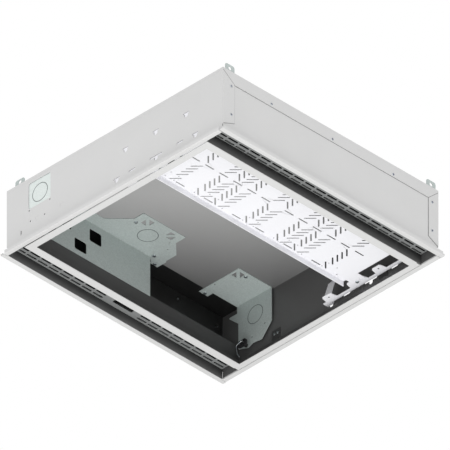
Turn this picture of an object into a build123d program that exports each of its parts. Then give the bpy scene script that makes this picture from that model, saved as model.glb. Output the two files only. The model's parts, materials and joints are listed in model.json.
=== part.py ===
from build123d import *
import math
import os

# A recessed ceiling outlet box for a suspended ceiling. Millimetres, +Z up.
# The origin is the middle of the ceiling opening, level with the underside of the flange.

# Overall sizes
FLANGE_X = 606.0
FLANGE_Y = 606.0
BODY_X = 585.0
BODY_Y = 585.0
BODY_HEIGHT = 149.0
SHEET = 1.2
HEAVY_SHEET = 1.5
BEND = 0.8
RIM_HEIGHT = 9.0
FIT = 0.2
CLEARANCE = 0.3
SEAM = 0.6
WALL_X = BODY_X / 2
WALL_Y = BODY_Y / 2
CEILING_Z = BODY_HEIGHT - SHEET
HEM_TOP = BODY_HEIGHT + 4.6
STRIP_Y = WALL_Y + SHEET
SLUG = 2.0

# Outside folds of the shell over the two end panels
TOP_FOLD = 23.6
LEFT_FOLD = 31.0
RIGHT_FOLD = 25.4
FOLD_FOOT_OUTER = 22.0
FOLD_FOOT_INNER = 35.0
CORNER_RELIEF_HEIGHT = 20.0

# Rails, vent channels and grilles
CHANNEL_WIDTH = 43.2
RAIL_Y = WALL_Y - CHANNEL_WIDTH
RAIL_INNER_Y = RAIL_Y - SHEET
RAIL_FOOT = 1.7
RAIL_TOP = 57.2
RAIL_EAR = 12.7
RAIL_EAR_FOOT = 27.0
LUG_SLOT = 10.0
LUG_Z = 31.0
LUG_Y = RAIL_Y + 7.2
GRILLE_Z = 24.3
GRILLE_FLANGE = 12.0
GRILLE_END_GAP = 1.6
GRILLE_SLOT = 26.0
GRILLE_SLOT_WIDTH = 4.5
GRILLE_PITCH = 30.0
GRILLE_OFFSET = 5.6
GRILLE_COLUMNS_PER_SIDE = int((WALL_X - GRILLE_OFFSET) // GRILLE_PITCH)
GRILLE_ROWS = 4
GRILLE_ROW_PITCH = 9.9
FRONT_GRILLE_MARGIN = 3.9
BACK_GRILLE_MARGIN = 7.3
CABLE_OPENING_X = 7.5
CABLE_OPENING_LENGTH = 52.0
CABLE_OPENING_WIDTH = 18.0
CABLE_OPENING_Y = RAIL_Y + 24.2

# Keyholes and slots in the two shell walls
SLOT_WIDTH = 4.0
UPPER_KEYHOLE_YS = [-194.0, -111.0, -29.0]
UPPER_KEYHOLE_Z = 91.0
LOWER_KEYHOLE_YS = [-219.0, -112.0, -4.5]
LOWER_KEYHOLE_Z = 31.0
KEYHOLE_RADIUS = 5.0
KEYHOLE_DROP = 1.5
KEYHOLE_SLOT_LIFT = 3.0
KEYHOLE_SLOT = 16.0
PLAIN_SLOTS = [(-177.0, 18.0), (-112.0, 34.0), (-46.5, 18.0)]

# Hinged access frame, with its gaps and strips counted from the walls and rails
FRAME_GAP_NEAR = 1.7
FRAME_GAP_FAR = 2.0
FRAME_STRIP_NEAR = 18.0
FRAME_STRIP_FAR = 14.0
FRAME_STRIP_FRONT = 17.8
FRAME_STRIP_BACK = 16.3
FRAME_LIP = 9.0
OPENING_MIN_X = -WALL_X + FRAME_STRIP_NEAR
OPENING_MAX_X = WALL_X - FRAME_STRIP_FAR
OPENING_MIN_Y = -RAIL_Y + FRAME_STRIP_FRONT
OPENING_MAX_Y = RAIL_Y - FRAME_STRIP_BACK
HINGE_X = WALL_X - 6.5
HINGE_Z = SHEET + 3.0
HINGE_YS = {"front": -146.0, "back": 146.0}
KNUCKLE_RADIUS = 2.4
PIN_RADIUS = 1.25
PIN_CLEARANCE = 0.05
EYE_LENGTH = 11.0
KNUCKLE_LENGTH = 6.0
HINGE_LEAF_REACH = 5.5
HINGE_PAD_WIDTH = 23.0
HINGE_PAD_FOOT = 24.0
HINGE_PAD_TOP = 46.0
HINGE_JOGGLE_FOOT = 12.0
HINGE_JOGGLE_TOP = 18.0
HINGE_RIVET_Z = 36.5
HINGE_RIVET_SPACING = 8.5
CATCH_YS = {"front": -140.0, "back": 140.0}
CATCH_WIDTH = 18.0

# Perforated equipment plate: rows of slots are counted from its lip edge
PLATE_DEPTH = 165.5
PLATE_MIN_X = -WALL_X + 8.5
PLATE_MAX_X = WALL_X - 42.0
PLATE_MIN_Y = -RAIL_Y + 5.3
PLATE_MAX_Y = PLATE_MIN_Y + PLATE_DEPTH
PLATE_TOP = 27.0
PLATE_LIP_FOOT = 14.0
PLATE_TAB_REACH = 22.0
PLATE_TAB_WIDTH = 32.0
PLATE_TAB_Y = PLATE_MAX_Y - 23.5
PATTERN_X = -17.25
PATTERN_GROUPS = [(-204.75, 1), (-108.2, 4), (0.0, 2), (108.2, 4), (204.75, 1)]
COLUMN_PITCH = 23.3
PLATE_SLOT = 24.0
PLATE_SLOT_WIDTH = 3.0
LOWER_ROWS = [15.0, 34.0, 47.0, 60.0, 73.0]
UPPER_ROWS = [104.5, 117.8, 131.0, 144.2]
STRAIGHT_SLOT_PITCH = 38.3
STRAIGHT_SLOT_FIRST = 31.75
STRAIGHT_SLOTS_PER_SIDE = 6
MIDDLE_ROW = 88.5
EDGE_ROW = 8.0
DOT_ROW = 24.0
SMALL_HOLE_RADIUS = 1.4
EDGE_DOT_OFFSET = 3.0
CORNER_HOLES = [(-243.0, EDGE_ROW), (-243.0, DOT_ROW), (225.0, EDGE_ROW), (210.0, DOT_ROW)]

# Brackets of the plate, counted from the wall and from the plate's lip edge
BAR_INNER = WALL_X - 15.0
BAR_OUTER = WALL_X - 7.5
TAB_INNER = WALL_X - 31.5
TAB_HOLE_X = WALL_X - 23.0
TAB_CORNER = 3.0
FRONT_TAB_Y = PLATE_MAX_Y - 77.0
WIDE_TAB_Y = PLATE_MAX_Y - 17.5
BACK_TAB_Y = PLATE_MAX_Y + 58.0
TABS = [(FRONT_TAB_Y, 24.0), (WIDE_TAB_Y, 42.0), (BACK_TAB_Y, 24.0)]
SPARE_HOLE_Y = PLATE_MAX_Y - 29.2
SCREW_TAB_Y = PLATE_MAX_Y - 19.0
FOOT_WIDTH = 16.0
FOOT_YS = [LOWER_KEYHOLE_YS[0], LOWER_KEYHOLE_YS[-1]]
ARM_WIDTH = 19.0
ARM_Y = -24.0
ARM_KNEE_X = TAB_INNER + 14.0
ARM_KNEE_Z = PLATE_TOP + 36.0
ARM_PAD_FOOT = 84.0
ARM_PAD_TOP = 104.0
FOOT_PAD_TOP = 44.0
BAR_MIN_Y = FOOT_YS[0] - FOOT_WIDTH / 2
BAR_MAX_Y = FOOT_YS[-1] + FOOT_WIDTH / 2
WALL_PLATE_FOOT = 22.0
WALL_PLATE_TOP = 106.0
WALL_PLATE_MARGIN = 12.0

# Galvanised wiring compartment, counted from the near wall and the back rail
LINER_Z = CEILING_Z - HEAVY_SHEET
PARTITION_FOOT = RAIL_TOP - 3.2
PARTITION_LENGTH = 342.0
CUTOUT_WIDTH = 32.0
CUTOUT_CORNER = 4.0
LOWER_CUTOUTS = [70.0, 152.0]
UPPER_CUTOUTS = [111.0, 193.0]
LOWER_CUTOUT_Z = PARTITION_FOOT + 24.0
UPPER_CUTOUT_Z = LINER_Z - 28.8
LOWER_CUTOUT_HEIGHT = 26.0
UPPER_CUTOUT_HEIGHT = 29.0
KNOCKOUT_RADIUS = 21.0
KNOCKOUT_GROOVE = 1.0
KNOCKOUT_DEPTH = 0.5
CONDUIT_HOLE_RADIUS = KNOCKOUT_RADIUS + 5.0
CONDUIT_WINDOW = 60.0
CONDUIT_WINDOW_CORNER = 5.0
TIE_HOLE = 19.0
TIE_BAR = 7.0
SCREW_RADIUS = 2.0
SCREW_HOLE_RADIUS = 2.15
WALL_HOLE_RADIUS = 1.8
LINER_OUTLINE = [
    (1.3, -28.6), (188.5, -28.6), (230.5, -69.1), (230.5, -95.1), (344.5, -95.1), (344.5, -69.1),
    (373.5, -41.1), (373.5, -12.1), (376.5, -10.1), (376.5, 13.9), (354.5, 13.9), (354.5, 9.9),
    (342.5, 0.0), (1.3, 0.0),
]
LINER_KNOCKOUT = (288.0, -48.6)
LINER_TIE_HOLES = [(257.5, -78.6, True), (321.0, -78.6, False)]
LINER_HOLES = [(348.0, -42.6), (335.5, -60.6)]
LINER_SCREWS = [(240.5, -64.6), (344.5, -9.6), (364.5, 8.9)]

# Liner of the back far corner, counted from the far wall and the back rail
CORNER_LINER_X = WALL_X - 6.0
CORNER_LEVEL_OUTLINE = [
    (-95.0, -95.1), (-6.0, -95.1), (-6.0, -1.1), (-71.5, -1.1), (-71.5, 13.9), (-95.0, 13.9),
]
CORNER_UPRIGHT_OUTLINE = [
    (-95.1, CEILING_Z), (-1.1, CEILING_Z), (-1.1, 131.0), (19.9, 131.0), (19.9, 128.0), (-4.6, 105.5),
    (-4.6, 45.0), (-30.6, 36.0), (-43.6, 41.0), (-67.6, 38.0), (-95.1, 70.0),
]
CORNER_KNOCKOUT = (-50.6, 105.0)
CORNER_TIE_HOLE = (-80.5, -78.6, True)
CORNER_HOLE = (-89.5, -24.1)
CORNER_WALL_HOLES = [(-76.6, 71.5), (-41.6, 56.0)]
CORNER_SCREWS = [(-83.5, 8.9), (-66.5, -85.1)]
STAY_OFFSET = -27.5
STAY_Z = 41.5
STAY_FACE_X = CORNER_LINER_X - 13.5
STAY_WIDTH = 24.0
STAY_HEIGHT = 16.0
STAY_CORNER = 4.0
STAY_WIRE_RADIUS = 0.8

# Liner behind the conduit window of the near wall, counted from the back rail
INLET_Y = -42.6
INLET_Z = LINER_Z - 37.8
INLET_WIDTH = 81.0
INLET_FOOT = 68.0
INLET_HOLES = [(-70.6, 77.0), (-14.1, 77.0)]
NEAR_WALL_HOLES = [(-56.1, 48.7), (-17.6, 51.4)]
DIMPLES = [(-103.1, 48.0), (-36.6, 48.0)]
DIMPLE_RADIUS = 5.5
DIMPLE_DEPTH = 0.4

# Hanging tabs
HANGER_WIDTH = 24.8
HANGER_CORNER = 5.0
HANGER_HOLE_RADIUS = 4.0
HANGER_FOOT = 86.0
FRONT_HANGER_TOP = BODY_HEIGHT + 21.0
FRONT_HANGER_HOLE_Z = BODY_HEIGHT + 12.5
BACK_HANGER_TOP = BODY_HEIGHT + 24.0
BACK_HANGER_HOLE_Z = BODY_HEIGHT + 17.5
HANGER_INSET = 7.0
HANGER_JOGGLE_FOOT = 104.0
HANGER_JOGGLE_TOP = 116.0
FRONT_HANGERS_X = {"left": -WALL_X + 20.3, "right": WALL_X - 16.3}
BACK_HANGER_Y = WALL_Y - 25.0

# Rivets and screws
RIVET_RADIUS = 1.6
RIVET_HOLE_RADIUS = 1.7
RIVET_HEAD_RADIUS = 3.0
RIVET_HEAD_HEIGHT = 1.0
TOP_RIVET_XS = [-161.5, 4.5, 170.5]
TOP_RIVET_Z = BODY_HEIGHT - 18.0
SIDE_RIVET_XS = [-WALL_X + 21.2, WALL_X - 15.8]
SIDE_RIVET_ZS = [BODY_HEIGHT - 30.7, 51.3]
TOP_RIVETS = [(x, TOP_RIVET_Z) for x in TOP_RIVET_XS]
SIDE_RIVETS = [(x, z) for z in SIDE_RIVET_ZS for x in SIDE_RIVET_XS]
SCREW_HEAD_RADIUS = 3.6
SCREW_HEAD_HEIGHT = 2.0
SCREW_LENGTH = 5.5


def rectangle(x0, y0, x1, y1):
    """A flat rectangle given by two corners."""
    return Pos((x0 + x1) / 2, (y0 + y1) / 2) * Rectangle(x1 - x0, y1 - y0)


def block(x0, y0, z0, x1, y1, z1):
    """A solid box given by two corners."""
    return Pos((x0 + x1) / 2, (y0 + y1) / 2, (z0 + z1) / 2) * Box(x1 - x0, y1 - y0, z1 - z0)


def disc(x, y, radius):
    return Pos(x, y) * Circle(radius)


def slot(x, y, length, width, angle=0):
    return Pos(x, y) * SlotOverall(length, width, rotation=angle)


def pierced(outline, holes):
    """An outline with separate holes that don't meet its edge."""
    wires = [hole.face().outer_wire() for hole in holes]
    return Face(outline.face().outer_wire(), wires)


def level_sheet(outline, z, thickness=SHEET):
    """A level sheet whose underside is at z."""
    return Pos(0, 0, z) * extrude(outline, thickness, dir=(0, 0, 1))


def across_x(x):
    """A drawing plane at x, with y to the right, z up and its normal along +X."""
    return Plane(origin=(x, 0, 0), x_dir=(0, 1, 0), z_dir=(1, 0, 0))


def across_y(y):
    """A drawing plane at y, with x to the right, z up and its normal along -Y."""
    return Plane(origin=(0, y, 0), x_dir=(1, 0, 0), z_dir=(0, -1, 0))


def on_plane(plane, outline, thickness):
    """A flat drawing made into a sheet on a plane, along its normal."""
    return plane.location * extrude(outline, thickness, dir=(0, 0, 1))


def folded_profile(points, thickness=SHEET, bend=BEND):
    """The section of a folded sheet. The points run along its right-hand face."""
    count = len(points)
    directions = []
    for start, end in zip(points, points[1:]):
        length = math.dist(start, end)
        directions.append(((end[0] - start[0]) / length, (end[1] - start[1]) / length))
    left, right_radii, left_radii = [], [], []
    for index in range(count):
        before = directions[max(index - 1, 0)]
        after = directions[min(index, count - 2)]
        normal = (-before[1] - after[1], before[0] + after[0])
        scale = 2 * thickness / (normal[0] ** 2 + normal[1] ** 2)
        left.append((points[index][0] + normal[0] * scale, points[index][1] + normal[1] * scale))
        turn = before[0] * after[1] - before[1] * after[0]
        inner, outer = (bend, bend + thickness) if abs(turn) > 0.01 else (0, 0)
        right_radii.append(outer if turn > 0 else inner)
        left_radii.append(inner if turn > 0 else outer)
    outline = list(points) + left[::-1]
    radii = right_radii + left_radii[::-1]
    return make_face(FilletPolyline(*outline, radius=radii, close=True))


def folded_along_y(points, y0, y1, thickness=SHEET, bend=BEND):
    """A folded sheet whose (x, z) section runs from y0 to y1."""
    return on_plane(across_y(y1), folded_profile(points, thickness, bend), y1 - y0)


def folded_along_x(points, x0, x1, thickness=SHEET, bend=BEND):
    """A folded sheet whose (y, z) section runs from x0 to x1."""
    return on_plane(across_x(x0), folded_profile(points, thickness, bend), x1 - x0)


def rod(radius, start, end):
    """A round rod from one point to another."""
    axis = Vector(*end) - Vector(*start)
    return Plane(origin=start, z_dir=axis).location * extrude(Circle(radius), axis.length, dir=(0, 0, 1))


def rivet(x, y, z, axis, grip):
    """A domed rivet. Its head seats at the point and its shank runs back along the axis."""
    head = Pos(0, 0, RIVET_HEAD_HEIGHT / 2) * Cylinder(RIVET_HEAD_RADIUS, RIVET_HEAD_HEIGHT)
    head = fillet(head.edges().sort_by(Axis.Z)[-1], RIVET_HEAD_HEIGHT * 0.8)
    shank = Pos(0, 0, -grip / 2) * Cylinder(RIVET_RADIUS, grip)
    tail = Pos(0, 0, -grip - RIVET_HEAD_HEIGHT / 2) * Cylinder(RIVET_HEAD_RADIUS * 0.8, RIVET_HEAD_HEIGHT)
    return Plane(origin=(x, y, z), z_dir=axis).location * (head + shank + tail)


def screw(x, y, z, axis, length=SCREW_LENGTH):
    """A pan-head screw with a cross recess. Its head seats at the point."""
    head = Pos(0, 0, SCREW_HEAD_HEIGHT / 2) * Cylinder(SCREW_HEAD_RADIUS, SCREW_HEAD_HEIGHT)
    head = fillet(head.edges().sort_by(Axis.Z)[-1], SCREW_HEAD_HEIGHT * 0.45)
    for angle in (0, 90):
        arm = Rot(0, 0, angle) * Box(SCREW_HEAD_RADIUS * 1.1, SCREW_HEAD_RADIUS * 0.25, SCREW_HEAD_HEIGHT)
        head -= Pos(0, 0, SCREW_HEAD_HEIGHT) * arm
    shank = Pos(0, 0, -length / 2) * Cylinder(SCREW_RADIUS, length)
    return Plane(origin=(x, y, z), z_dir=axis).location * (head + shank)


def bore(x, y, z, radius, axis, length=4 * SLUG):
    """A round cutter centred on a point."""
    return Plane(origin=(x, y, z), z_dir=axis).location * Cylinder(radius, length)


def knockout_groove(x, y):
    """The punched ring of a knockout, in a drawing."""
    return disc(x, y, KNOCKOUT_RADIUS) - disc(x, y, KNOCKOUT_RADIUS - KNOCKOUT_GROOVE)


def tie_hole(x, y, rising):
    """Two triangular holes in a drawing that leave a bar across a square."""
    half = TIE_HOLE / 2
    gap = TIE_BAR / 2 * math.sqrt(2)
    side = 1 if rising else -1
    first = [(-half * side, -half + gap), (-half * side, half), ((half - gap) * side, half)]
    second = [(-a, -b) for a, b in first]
    return [Pos(x, y) * make_face(Polyline(*corners, close=True)) for corners in (first, second)]


def keyhole_cutters():
    """Everything that pierces both shell walls, drawn as (y, z)."""
    shapes = []
    for ys, z in ((UPPER_KEYHOLE_YS, UPPER_KEYHOLE_Z), (LOWER_KEYHOLE_YS, LOWER_KEYHOLE_Z)):
        for y in ys:
            shapes.append(disc(y, z - KEYHOLE_DROP, KEYHOLE_RADIUS))
            shapes.append(slot(y, z + KEYHOLE_SLOT_LIFT, KEYHOLE_SLOT, SLOT_WIDTH))
    for y, length in PLAIN_SLOTS:
        shapes.append(slot(y, LOWER_KEYHOLE_Z + KEYHOLE_SLOT_LIFT, length, SLOT_WIDTH))
    shapes.append(slot(LUG_Y, LUG_Z + LUG_SLOT / 2, LUG_SLOT, SLOT_WIDTH, 90))
    return shapes


def housing_shell():
    """Two walls and the top, folded from one sheet with the flange and the folds over the end panels."""
    flange = FLANGE_X / 2
    section = [(-flange, RIM_HEIGHT), (-flange, 0), (-WALL_X, 0), (-WALL_X, CEILING_Z)]
    section += [(-x, z) for x, z in section[::-1]]
    fold_y = STRIP_Y + SHEET
    shell = folded_along_y(section, -fold_y, fold_y)
    for side in (-1, 1):
        inner, outer = sorted((side * (WALL_Y - FIT), side * (fold_y + SLUG)))
        shell -= block(-FLANGE_X, inner, -SLUG, FLANGE_X, outer, CORNER_RELIEF_HEIGHT)
        shell += end_folds(side)
    window = RectangleRounded(CONDUIT_WINDOW, CONDUIT_WINDOW, CONDUIT_WINDOW_CORNER)
    window = Pos(RAIL_INNER_Y + INLET_Y, INLET_Z + SLUG) * window
    shell -= on_plane(across_x(-WALL_X - SLUG), window, 2 * SLUG)
    for x in (-WALL_X, WALL_X):
        for cutter in keyhole_cutters():
            shell -= on_plane(across_x(x - SLUG), cutter, 2 * SLUG)
    for y, z in INLET_HOLES + NEAR_WALL_HOLES:
        shell -= bore(-WALL_X, RAIL_INNER_Y + y, z, WALL_HOLE_RADIUS, (1, 0, 0))
    for y, z in DIMPLES:
        shell -= bore(-WALL_X - SHEET, RAIL_INNER_Y + y, z, DIMPLE_RADIUS, (1, 0, 0), 2 * DIMPLE_DEPTH)
    corner_y, corner_z = CORNER_KNOCKOUT
    shell -= bore(WALL_X, RAIL_INNER_Y + corner_y, corner_z, CONDUIT_HOLE_RADIUS, (1, 0, 0))
    liner_x, liner_y = from_near_back(LINER_KNOCKOUT)
    shell -= bore(liner_x, liner_y, CEILING_Z, CONDUIT_HOLE_RADIUS, (0, 0, 1))
    for y_hinge in HINGE_YS.values():
        for offset in (-HINGE_RIVET_SPACING / 2, HINGE_RIVET_SPACING / 2):
            shell -= bore(WALL_X, y_hinge + offset, HINGE_RIVET_Z, RIVET_HOLE_RADIUS, (1, 0, 0))
    for cutter in hanger_slots():
        shell -= cutter
    return shell + top_hem()


def top_hem():
    """The doubled edge that stands up round the top and stiffens it."""
    corner_x, corner_y = WALL_X + SHEET, STRIP_Y + SHEET
    outer = rectangle(-corner_x, -corner_y, corner_x, corner_y)
    inside_x, inside_y = corner_x - 2 * SHEET, corner_y - 2 * SHEET
    inner = rectangle(-inside_x, -inside_y, inside_x, inside_y)
    return level_sheet(pierced(outer, [inner]), CEILING_Z, HEM_TOP - CEILING_Z)


def end_folds(side):
    """The three mitred folds of the shell that lie on one end panel, with their rivet holes."""
    corner = WALL_X + SHEET
    left, right, low = -WALL_X + LEFT_FOLD, WALL_X - RIGHT_FOLD, BODY_HEIGHT - TOP_FOLD
    top = [(-corner + SEAM, BODY_HEIGHT), (corner - SEAM, BODY_HEIGHT), (right, low), (left, low)]
    near = [
        (-corner, FOLD_FOOT_OUTER),
        (left - SEAM, FOLD_FOOT_INNER),
        (left - SEAM, low - SEAM),
        (-corner, BODY_HEIGHT - SEAM),
    ]
    far = [
        (corner, FOLD_FOOT_OUTER),
        (right + SEAM, FOLD_FOOT_INNER),
        (right + SEAM, low - SEAM),
        (corner, BODY_HEIGHT - SEAM),
    ]
    plane = across_y(-STRIP_Y) if side < 0 else across_y(STRIP_Y + SHEET)
    folds = None
    for outline in (top, near, far):
        fold = on_plane(plane, make_face(Polyline(*outline, close=True)), SHEET)
        folds = fold if folds is None else folds + fold
    for x, z in TOP_RIVETS + SIDE_RIVETS:
        folds -= bore(x, side * STRIP_Y, z, RIVET_HOLE_RADIUS, (0, 1, 0))
    return folds


def hanger_slots():
    """Slots in the top for the hanging tabs that pass through it."""
    cutters = []
    half = HANGER_WIDTH / 2 + CLEARANCE
    for x in FRONT_HANGERS_X.values():
        y0 = -WALL_Y
        y1 = y0 + HEAVY_SHEET + CLEARANCE
        cutters.append(block(x - half, y0, CEILING_Z - SLUG, x + half, y1, BODY_HEIGHT + SLUG))
    x0 = -WALL_X + HANGER_INSET - CLEARANCE
    x1 = x0 + HEAVY_SHEET + 2 * CLEARANCE
    y0, y1 = BACK_HANGER_Y - half, BACK_HANGER_Y + half
    cutters.append(block(x0, y0, CEILING_Z - SLUG, x1, y1, BODY_HEIGHT + SLUG))
    return cutters


def end_panel(side):
    """A flat end of the body with its own folded flange. Side is -1 at the front and 1 at the back."""
    flange = FLANGE_Y / 2
    section = [(-flange, RIM_HEIGHT), (-flange, 0), (-WALL_Y, 0), (-WALL_Y, CEILING_Z - FIT)]
    long_half = FLANGE_X / 2 - FIT
    panel = folded_along_x(section, -long_half, long_half)
    for x_side in (-1, 1):
        x0, x1 = sorted((x_side * (WALL_X - FIT), x_side * (FLANGE_X / 2 + SLUG)))
        panel -= block(x0, -STRIP_Y - FIT, -SLUG, x1, -WALL_Y + SLUG, BODY_HEIGHT)
        rim_x0, rim_x1 = sorted((x_side * (FLANGE_X / 2 - RIM_HEIGHT / 2), x_side * (FLANGE_X / 2 + SLUG)))
        panel -= block(rim_x0, -flange - SLUG, RIM_HEIGHT / 2, rim_x1, -STRIP_Y, RIM_HEIGHT + SLUG)
    for x, z in TOP_RIVETS + SIDE_RIVETS:
        panel -= bore(x, -WALL_Y, z, RIVET_HOLE_RADIUS, (0, 1, 0))
    return panel if side < 0 else mirror(panel, Plane.XZ)


def end_panel_rivets():
    """Domed rivets through the folds and the end panels, and through the front hanging tabs."""
    rivets = []
    for side in (-1, 1):
        for x, z in TOP_RIVETS + SIDE_RIVETS:
            through_tab = side < 0 and z > HANGER_FOOT and (x, z) in SIDE_RIVETS
            grip = 2 * SHEET + (HEAVY_SHEET if through_tab else 0)
            rivets.append(rivet(x, side * (STRIP_Y + SHEET), z, (0, side, 0), grip))
    return rivets


def rail(side):
    """An inner rail beside a vent channel, with ears at both ends. The back one hooks into the shell."""
    web = block(-WALL_X, RAIL_INNER_Y, RAIL_FOOT, WALL_X, RAIL_Y, RAIL_TOP)
    for x_side in (-1, 1):
        x0, x1 = sorted((x_side * (WALL_X - SHEET), x_side * WALL_X))
        web += block(x0, RAIL_INNER_Y, RAIL_EAR_FOOT, x1, RAIL_Y + RAIL_EAR, RAIL_TOP)
        if side > 0:
            lug_x0, lug_x1 = sorted((x_side * (WALL_X - SHEET), x_side * (WALL_X + 2 * SHEET)))
            lug_half = SHEET / 2
            lug_top = LUG_Z + LUG_SLOT - 2 * FIT
            web += block(lug_x0, LUG_Y - lug_half, LUG_Z + 2 * FIT, lug_x1, LUG_Y + lug_half, lug_top)
    return web if side > 0 else mirror(web, Plane.XZ)


def vent_grille(side, margin, with_cable_opening):
    """A slotted channel ceiling with an upturned flange along the rail and the end panel."""
    half = WALL_X - GRILLE_END_GAP
    outline = rectangle(-half, RAIL_Y, half, WALL_Y)
    holes = []
    for row in range(GRILLE_ROWS):
        y = RAIL_Y + margin + row * GRILLE_ROW_PITCH
        for column in range(-GRILLE_COLUMNS_PER_SIDE, GRILLE_COLUMNS_PER_SIDE + 1):
            x = GRILLE_OFFSET + column * GRILLE_PITCH
            near_opening = abs(x - CABLE_OPENING_X) < (CABLE_OPENING_LENGTH + GRILLE_SLOT) / 2
            if with_cable_opening and near_opening and abs(y - CABLE_OPENING_Y) < CABLE_OPENING_WIDTH:
                continue
            holes.append(slot(x, y, GRILLE_SLOT, GRILLE_SLOT_WIDTH))
    if with_cable_opening:
        opening = RectangleRounded(CABLE_OPENING_LENGTH, CABLE_OPENING_WIDTH, 2 * BEND)
        holes.append(Pos(CABLE_OPENING_X, CABLE_OPENING_Y) * opening)
    grille = level_sheet(pierced(outline, holes), GRILLE_Z)
    top = GRILLE_Z + GRILLE_FLANGE
    grille += block(-half, RAIL_Y, GRILLE_Z, half, RAIL_Y + SHEET, top)
    grille += block(-half, WALL_Y - SHEET, GRILLE_Z, half, WALL_Y, top)
    return grille if side > 0 else mirror(grille, Plane.XZ)


def access_frame():
    """The hinged frame: a flat ring, narrower behind the hinges to pass the rails, with an upturned lip."""
    outer = rectangle(-WALL_X + FRAME_GAP_NEAR, -RAIL_Y, HINGE_X - HINGE_LEAF_REACH, RAIL_Y)
    between_rails = RAIL_INNER_Y - CLEARANCE
    outer += rectangle(-WALL_X + FRAME_GAP_NEAR, -between_rails, WALL_X - FRAME_GAP_FAR, between_rails)
    opening = rectangle(OPENING_MIN_X, OPENING_MIN_Y, OPENING_MAX_X, OPENING_MAX_Y)
    ring = level_sheet(pierced(outer, [opening]), 0)
    lip_outer = rectangle(
        OPENING_MIN_X - SHEET, OPENING_MIN_Y - SHEET, OPENING_MAX_X + SHEET, OPENING_MAX_Y + SHEET
    )
    return ring + level_sheet(pierced(lip_outer, [opening]), 0, FRAME_LIP)


def hinge_leaf(y):
    """A leaf on the frame with two knuckles, one each side of the bracket's eye."""
    z0 = SHEET
    half = EYE_LENGTH / 2 + CLEARANCE + KNUCKLE_LENGTH
    start = HINGE_X - HINGE_LEAF_REACH
    leaf = block(start, y - half, z0, HINGE_X - KNUCKLE_RADIUS - CLEARANCE, y + half, z0 + SHEET)
    for side in (-1, 1):
        y0, y1 = sorted((y + side * (EYE_LENGTH / 2 + CLEARANCE), y + side * half))
        leaf += rod(KNUCKLE_RADIUS, (HINGE_X, y0, HINGE_Z), (HINGE_X, y1, HINGE_Z))
        web_top = HINGE_Z - KNUCKLE_RADIUS + 2 * SHEET
        leaf += block(start + SHEET, y0, z0, HINGE_X - PIN_RADIUS - CLEARANCE, y1, web_top)
    return leaf - bore(HINGE_X, y, HINGE_Z, PIN_RADIUS, (0, 1, 0), 3 * half)


def hinge_pin(y):
    """A steel pin, fixed in the leaf's knuckles and free in the bracket's eye."""
    half = EYE_LENGTH / 2 + CLEARANCE + KNUCKLE_LENGTH
    return rod(PIN_RADIUS, (HINGE_X, y - half, HINGE_Z), (HINGE_X, y + half, HINGE_Z))


def hinge_bracket(y):
    """A bracket on the far wall: a riveted pad, a joggle and a narrow leg with an eye for the pin."""
    leg_x = HINGE_X + SHEET / 2
    section = [
        (leg_x, HINGE_Z),
        (leg_x, HINGE_JOGGLE_FOOT),
        (WALL_X, HINGE_JOGGLE_TOP),
        (WALL_X, HINGE_PAD_TOP),
    ]
    half = HINGE_PAD_WIDTH / 2
    bracket = folded_along_y(section, y - half, y + half)
    leg = EYE_LENGTH / 2
    for side in (-1, 1):
        taper = [
            (side * leg, HINGE_Z - KNUCKLE_RADIUS),
            (side * leg, HINGE_JOGGLE_TOP),
            (side * half, HINGE_PAD_FOOT),
            (side * (half + SLUG), HINGE_PAD_FOOT),
            (side * (half + SLUG), HINGE_Z - KNUCKLE_RADIUS),
        ]
        cutter = make_face(Polyline(*[(y + dy, z) for dy, z in taper], close=True))
        bracket -= on_plane(across_x(HINGE_X - 2 * SLUG), cutter, WALL_X - HINGE_X + 4 * SLUG)
    bracket += rod(KNUCKLE_RADIUS, (HINGE_X, y - leg, HINGE_Z), (HINGE_X, y + leg, HINGE_Z))
    bracket -= bore(HINGE_X, y, HINGE_Z, PIN_RADIUS + PIN_CLEARANCE, (0, 1, 0), 3 * half)
    for offset in (-HINGE_RIVET_SPACING / 2, HINGE_RIVET_SPACING / 2):
        bracket -= bore(WALL_X, y + offset, HINGE_RIVET_Z, RIVET_HOLE_RADIUS, (1, 0, 0))
    return bracket


def hinge_rivets():
    rivets = []
    for y in HINGE_YS.values():
        for offset in (-HINGE_RIVET_SPACING / 2, HINGE_RIVET_SPACING / 2):
            rivets.append(rivet(WALL_X - SHEET, y + offset, HINGE_RIVET_Z, (-1, 0, 0), 2 * SHEET))
    return rivets


def catch_spring(y):
    """A bent leaf on the near wall that bears on the frame's lip."""
    lip_x = OPENING_MIN_X - SHEET - CLEARANCE
    section = [
        (-WALL_X, HINGE_PAD_TOP),
        (-WALL_X, HINGE_JOGGLE_TOP),
        (lip_x - 3 * SHEET, HINGE_JOGGLE_FOOT),
        (lip_x - SHEET, FRAME_LIP - 2 * SHEET),
        (lip_x - 3 * SHEET, 2 * SHEET),
    ]
    return folded_along_y(section, y - CATCH_WIDTH / 2, y + CATCH_WIDTH / 2, SHEET / 2)


def straight_slot_xs(step):
    """Where the straight slots of a row stand, counted outwards from the pattern's middle."""
    places = []
    for index in range(0, STRAIGHT_SLOTS_PER_SIDE, step):
        reach = STRAIGHT_SLOT_FIRST + index * STRAIGHT_SLOT_PITCH
        places += [PATTERN_X - reach, PATTERN_X + reach]
    return places


def diagonal_columns():
    """Each column of slanted slots as (x, way, at an edge of its group, inside its group)."""
    columns = []
    for middle, count in PATTERN_GROUPS:
        for index in range(count):
            x = PATTERN_X + middle + (index - (count - 1) / 2) * COLUMN_PITCH
            rises = index % 2 == 0 if count > 1 else middle > 0
            at_edge = index in (0, count - 1)
            columns.append((x, 1 if rises else -1, at_edge, count < 3 or not at_edge))
    return columns


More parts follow.
